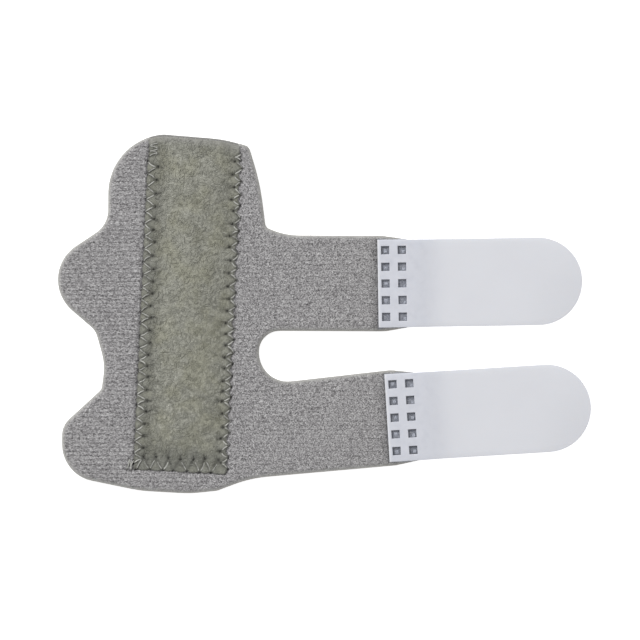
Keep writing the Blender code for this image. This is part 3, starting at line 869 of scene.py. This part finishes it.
def makeThread(name, face, material, section):
    paths = [stitchPath(start, end, seam, face) for start, end, seam in arms]
    piece = newPiece(name, sweepWires(name, paths, section, turn=thread["turn"]), material)
    piece.data.shade_smooth()
    return piece


plySection = makeSection("plySection", thread["sides"], thread["radius"], thread["plies"], thread["pliesDepth"])
threadMaterial = makeThreadMaterial()
seamThread = makeThread("seamThread", True, threadMaterial, plySection)
bobbinThread = makeThread("bobbinThread", False, threadMaterial, plySection)
bpy.data.objects.remove(plySection)
print("thread:", len(seamThread.data.polygons), "faces a side")


# Hook tabs: milky moulded sheet, pierced where it is welded, with rows of tiny hooks below

def makePlasticMaterial():
    constants = {"Roughness": 0.42, "Subsurface Weight": 0.12, "Subsurface Scale": 0.001, "Subsurface Radius": (0.8, 0.9, 1.0)}
    material, tree, shader = newMaterial("hookPlastic", **constants)
    place = millimetres(tree)
    clouds = addNode(tree, "ShaderNodeTexNoise", {"Vector": place, "Scale": 0.09, "Detail": 2.0}).outputs[0]
    color = mixColor(tree, rescale(tree, clouds, 0.3, 0.7), tab["plastic"], tab["thick"])
    # the grey cloth shows through where the sheet is welded to it, mottled; down the slope the same darker tint is
    # painted shade where the sheet bends away from the light, and it fades out towards the floor
    along = maths(tree, "MULTIPLY", mask(tree, "along"), tab["alongSpan"] / mm)
    share = maths(tree, "MULTIPLY", rescale(tree, along, 0.2, 0.55), rescale(tree, along, 5.0, 17.0, 1.0, 0.0, smooth=True))
    mottle = addNode(tree, "ShaderNodeTexNoise", {"Vector": place, "Scale": 0.55, "Detail": 3.0}).outputs[0]
    cloudy = mixColor(tree, rescale(tree, mottle, 0.45, 0.75, 0.0, 0.6), tab["welded"], tab["stainAndSlopeShade"])
    color = mixColor(tree, share, color, cloudy)
    tree.links.new(color, shader.inputs["Base Color"])
    streak = addNode(tree, "ShaderNodeMapping", {"Vector": place, "Scale": (0.25, 3.0, 1.0)}).outputs[0]
    lines = addNode(tree, "ShaderNodeTexNoise", {"Vector": streak, "Scale": 1.2, "Detail": 2.0}).outputs[0]
    pits = addNode(tree, "ShaderNodeTexNoise", {"Vector": place, "Scale": 5.0, "Detail": 2.0}).outputs[0]
    height = maths(tree, "ADD", maths(tree, "MULTIPLY", lines, 0.6), maths(tree, "MULTIPLY", pits, 0.4))
    tree.links.new(rescale(tree, pits, 0.3, 0.7, 0.38, 0.5), shader.inputs["Roughness"])
    bumpInto(tree, shader, height, 0.02 * mm, 0.5)
    return material


def tabFall(x):
    # how far down the slope a point along the tab is, 0 on the strap and 1 on the floor, steepest early on
    share = float(ease((x - tab["weldLength"] + 0.8 * mm) / (tab["slope"] + 2.9 * mm)))
    return 1 - (1 - share) ** 2


def holeSpans(width):
    # the weld holes' low and high edges along the tab and across it
    pitch = (width - 2 * tab["sideMargin"]) / (tab["rows"] - 1)
    along = [tab["endMargin"] + number * tab["columnPitch"] for number in range(tab["columns"])]
    across = [(number - (tab["rows"] - 1) / 2) * pitch for number in range(tab["rows"])]
    half = tab["hole"] / 2
    return [(c - half, c + half) for c in along], [(c - half, c + half) for c in across]


def inHole(x, y, columns, rows):
    return any(a < x < b for a, b in columns) and any(a < y < b for a, b in rows)


def makeTabSheet(axes):
    width, length = axes["width"], axes["length"]
    columns, rows = holeSpans(width)
    bm = bmesh.new()
    outline = [(0, width / 2), (0, -width / 2)]
    for step in range(tab["endSteps"] + 1):
        angle = math.pi * (step / tab["endSteps"] - 0.5)
        outline.append((length - width / 2 + math.cos(angle) * width / 2, math.sin(angle) * width / 2))
    bm.faces.new([bm.verts.new((x, y, 0)) for x, y in outline])
    cutsAlong = [edge + shift for low, high in columns for edge, shift in ((low, 0), (high, 0), (low, -0.25 * mm), (high, 0.25 * mm))]
    cutsAlong += [tab["weldLength"] - 0.4 * mm + (tab["slope"] + 3 * mm) * step / 24 for step in range(25)]
    cutsAlong += [21 * mm, 25 * mm, 29 * mm, 33 * mm]
    cutsAcross = [edge + shift for low, high in rows for edge, shift in ((low, 0), (high, 0), (low, -0.25 * mm), (high, 0.25 * mm))]
    for place, normal in [((x, 0, 0), (1, 0, 0)) for x in cutsAlong] + [((0, y, 0), (0, 1, 0)) for y in cutsAcross]:
        geometry = list(bm.verts) + list(bm.edges) + list(bm.faces)
        bmesh.ops.bisect_plane(bm, geom=geometry, plane_co=place, plane_no=normal, dist=1e-7)
    holes = [f for f in bm.faces if inHole(*f.calc_center_median().xy, columns, rows)]
    bmesh.ops.delete(bm, geom=holes, context="FACES")
    made = bmesh.ops.extrude_face_region(bm, geom=list(bm.faces))
    raised = [item for item in made["geom"] if isinstance(item, bmesh.types.BMVert)]
    bmesh.ops.translate(bm, verts=raised, vec=(0, 0, tab["base"]))
    bmesh.ops.recalc_face_normals(bm, faces=bm.faces)
    sharp = [e for e in bm.edges if e.calc_face_angle(0) > 1.0 and abs(e.verts[0].co.z - e.verts[1].co.z) < 1e-7]
    bmesh.ops.bevel(bm, geom=sharp, offset=tab["edge"], affect="EDGES", segments=3, profile=0.5, material=-1)
    return bm, columns, rows


def raiseLips(bm, columns, rows):
    # melted plastic stands up a little round each weld hole
    for vert in bm.verts:
        x, y = vert.co.x, vert.co.y
        if x > tab["weldLength"] or vert.co.z < tab["base"] * 0.7:
            continue
        gapX = min(max(low - x, x - high) for low, high in columns)
        gapY = min(max(low - y, y - high) for low, high in rows)
        gap = math.hypot(max(gapX, 0), max(gapY, 0))
        ragged = 0.6 + 0.8 * noise.noise(vert.co / (0.8 * mm))
        vert.co.z += tab["lip"] * math.exp(-(gap / (0.25 * mm)) ** 2) * ragged


def settleTab(bm, axes):
    # bends the flat sheet down off the strap and turns it to its place
    weldLow, freeLow = tab["weldLow"], 1.2 * mm - tab["base"]
    for vert in bm.verts:
        vert.co.z += weldLow + (freeLow - weldLow) * tabFall(vert.co.x)
    turn = Matrix.Identity(4)
    turn.col[0] = (*axes["along"], 0, 0)
    turn.col[1] = (*axes["across"], 0, 0)
    turn.col[3] = (*axes["start"], 0, 1)
    bmesh.ops.transform(bm, matrix=turn, verts=bm.verts)


def makeTab(name, axes, material):
    bm, columns, rows = makeTabSheet(axes)
    raiseLips(bm, columns, rows)
    along = np.array([vert.co.x for vert in bm.verts])
    settleTab(bm, axes)
    piece = newPiece(name, bm, material)
    setMask(piece.data, "along", along / tab["alongSpan"])
    piece.data.shade_smooth()
    piece.data.set_sharp_from_angle(angle=math.radians(50))
    return piece


def makeHooks(name, axes, material):
    # one tiny mushroom hook, repeated in rows by arrays, then trimmed to the tab's round end
    stem, head = 0.13 * mm, 0.26 * mm
    bm = bmesh.new()
    tall = tab["hookHeight"]
    bmesh.ops.create_cone(bm, cap_ends=True, segments=6, radius1=head, radius2=stem, depth=0.16 * mm,
                          matrix=Matrix.Translation((0, 0, 0.1 * mm)))
    bmesh.ops.create_cone(bm, cap_ends=True, segments=6, radius1=stem * 0.8, radius2=stem * 1.3, depth=tall - 0.1 * mm,
                          matrix=Matrix.Translation((0, 0, 0.1 * mm + (tall - 0.1 * mm) / 2)))
    piece = newPiece(name, bm, material)
    start = tab["weldLength"] + 0.3 * mm + tab["slope"]
    across = int((axes["width"] - 2 * tab["hookMargin"]) / tab["hookPitchWide"])
    along = int((axes["length"] - start - tab["hookMargin"]) / tab["hookPitchLong"])
    for label, count, offset in (
        ("alongRows", along + 1, (tab["hookPitchLong"], 0, 0)),
        ("acrossRows", across + 1, (0, tab["hookPitchWide"], 0)),
    ):
        rows = piece.modifiers.new(label, "ARRAY")
        rows.use_relative_offset = False
        rows.use_constant_offset = True
        rows.constant_offset_displace = offset
        rows.count = count
    fixModifiers(piece)
    bm = bmesh.new()
    bm.from_mesh(piece.data)
    bmesh.ops.translate(bm, verts=bm.verts, vec=(start, -across * tab["hookPitchWide"] / 2, 0))
    middle = axes["length"] - axes["width"] / 2
    radius = axes["width"] / 2 - tab["hookMargin"]
    gone = []
    for vert in bm.verts:
        column = round((vert.co.x - start) / tab["hookPitchLong"]) * tab["hookPitchLong"] + start
        row = (round(vert.co.y / tab["hookPitchWide"] + across / 2) - across / 2) * tab["hookPitchWide"]
        if column > middle and math.hypot(column - middle, row) > radius:
            gone.append(vert)
    bmesh.ops.delete(bm, geom=gone, context="VERTS")
    turn = Matrix.Identity(4)
    turn.col[0] = (*axes["along"], 0, 0)
    turn.col[1] = (*axes["across"], 0, 0)
    turn.col[3] = (*axes["start"], 0, 1)
    bmesh.ops.transform(bm, matrix=turn, verts=bm.verts)
    bmesh.ops.recalc_face_normals(bm, faces=bm.faces)
    bm.to_mesh(piece.data)
    bm.free()
    return piece


def makePlugMaterial():
    # knit glazed by the weld, darkened with painted shadow in each hole's moat
    material, tree, shader = newMaterial("weldedKnit", **{"Roughness": 0.5})
    place = millimetres(tree)
    flecks = placeGroup(tree, fleckGroup, Place=place, Size=0.28, Stretch=1.2, Seed=30.0)["Tone"]
    color = mixColor(tree, flecks, tint(104, 108, 119), tint(206, 210, 221))
    # painted shadow in each hole's moat
    tree.links.new(mixColor(tree, mask(tree, "moat"), color, tint(24, 25, 32)), shader.inputs["Base Color"])
    bumpInto(tree, shader, flecks, 0.1 * mm, 0.8)
    return material


def makePlugs():
    # the cloth that the weld has pushed up into each hole, a square mound with a moat round it; the moat carries
    # painted shadow, widest at the top-left where the mound sits off centre
    bm = bmesh.new()
    moat = bm.verts.layers.float.new("moat")
    for axes in tabFrames.values():
        columns, rows = holeSpans(axes["width"])
        for (lowX, highX), (shiftX, shiftY) in zip(columns, tab["plugShift"]):
            for lowY, highY in rows:
                half = (highX - lowX) / 2 + 0.12 * mm
                rise = tab["plugHeight"] * random.uniform(0.5, 1.0)
                # each mound is pushed towards the lower right, so the painted shadow in its moat lies at the top-left,
                # under the wall nearest the light
                leanX, leanY = shiftX + random.uniform(-0.14, 0.14), shiftY + random.uniform(-0.14, 0.14)
                made = bmesh.ops.create_grid(bm, x_segments=tab["plugSteps"], y_segments=tab["plugSteps"], size=half)
                for vert in made["verts"]:
                    x, y = vert.co.x / half, vert.co.y / half
                    out = max(abs(x - leanX), abs(y - leanY))
                    mound = float(ease((0.64 - out) / 0.3))
                    # painted shadow fills the moat round the mound
                    vert[moat] = 1 - mound
                    height = tab["plugLow"] + rise * mound * (1 + 0.5 * leanX * x + 0.5 * leanY * y)
                    flat = axes["start"] + axes["along"] * (vert.co.x + (lowX + highX) / 2) + axes["across"] * (vert.co.y + (lowY + highY) / 2)
                    vert.co = (*flat, height)
    sunk = [item for item in bmesh.ops.extrude_face_region(bm, geom=list(bm.faces))["geom"] if isinstance(item, bmesh.types.BMVert)]
    for vert in sunk:
        vert.co.z = tab["plugLow"] - tab["plugBase"]
    bmesh.ops.recalc_face_normals(bm, faces=bm.faces)
    piece = newPiece("weldPlugs", bm, makePlugMaterial())
    piece.data.shade_smooth()
    return piece


plasticMaterial = makePlasticMaterial()
weldPlugs = makePlugs()
tabs = {}
for nodeName, pieceName in (("hook_tab_upper", "hookTabUpper"), ("hook_tab_lower", "hookTabLower")):
    tabs[nodeName] = makeTab(pieceName, tabFrames[nodeName], plasticMaterial)
    tabs[nodeName + "Hooks"] = makeHooks(pieceName + "Hooks", tabFrames[nodeName], plasticMaterial)
print("tabs:", sum(len(t.data.polygons) for t in tabs.values()), "faces")


# Stage: pale floor, soft light from the upper left, camera straight above

photo = {
    "middle": (30.1 * mm, -3.65 * mm), "across": 145.9 * mm, "distance": 1.25, "sensor": 36.0,
    "keyPlace": (-0.84, 0.92, 1.24), "keySize": 0.60, "keyPower": 20.5, "sky": 0.57, "floorGlow": 0.62,
}


def makeFloor():
    # the floor glows a little, as a lit table does, so that it stays white under the splint's soft shadow
    material, tree, shader = newMaterial("paleFloor", **{"Roughness": 0.9, "Emission Strength": photo["floorGlow"]})
    shader.inputs["Base Color"].default_value = (0.93, 0.93, 0.93, 1)
    shader.inputs["Emission Color"].default_value = (1, 1, 1, 1)
    bm = bmesh.new()
    bmesh.ops.create_grid(bm, x_segments=1, y_segments=1, size=2.0)
    floor = newPiece("floor", bm, material)
    return floor


def makeLight():
    lamp = bpy.data.lights.new("softKey", "AREA")
    lamp.size = photo["keySize"]
    lamp.energy = photo["keyPower"]
    key = bpy.data.objects.new("softKey", lamp)
    bpy.context.scene.collection.objects.link(key)
    key.location = photo["keyPlace"]
    key.rotation_euler = (Vector((0.03, 0, 0)) - key.location).to_track_quat("-Z", "Y").to_euler()
    world = bpy.data.worlds.new("softSky")
    world.use_nodes = True
    world.node_tree.nodes["Background"].inputs["Color"].default_value = (1, 1, 1, 1)
    world.node_tree.nodes["Background"].inputs["Strength"].default_value = photo["sky"]
    bpy.context.scene.world = world


def makeCamera():
    data = bpy.data.cameras.new("above")
    data.sensor_width = photo["sensor"]
    data.lens = photo["sensor"] * photo["distance"] / photo["across"]
    camera = bpy.data.objects.new("above", data)
    bpy.context.scene.collection.objects.link(camera)
    camera.location = (*photo["middle"], photo["distance"])
    bpy.context.scene.camera = camera


floor = makeFloor()
makeLight()
makeCamera()
bpy.context.scene.view_settings.view_transform = "Standard"
print("stage set")


# Each piece hangs from the root body

for piece, slotName in (
    (wrapCloth, "grey_knit"), (wrapFuzz, "grey_knit"), (pocketCloth, "loop_pile"), (pocketHairs, "loop_pile"),
    (pocketCurls, "loop_pile"), (weldPlugs, "grey_knit"), (seamThread, "grey_knit"), (bobbinThread, "grey_knit"), *[(t, "hook_plastic") for t in tabs.values()],
):
    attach(piece, "root")
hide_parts("wrap_body")
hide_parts("pocket_cloth")
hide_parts("hook_tab_upper")
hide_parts("hook_tab_lower")
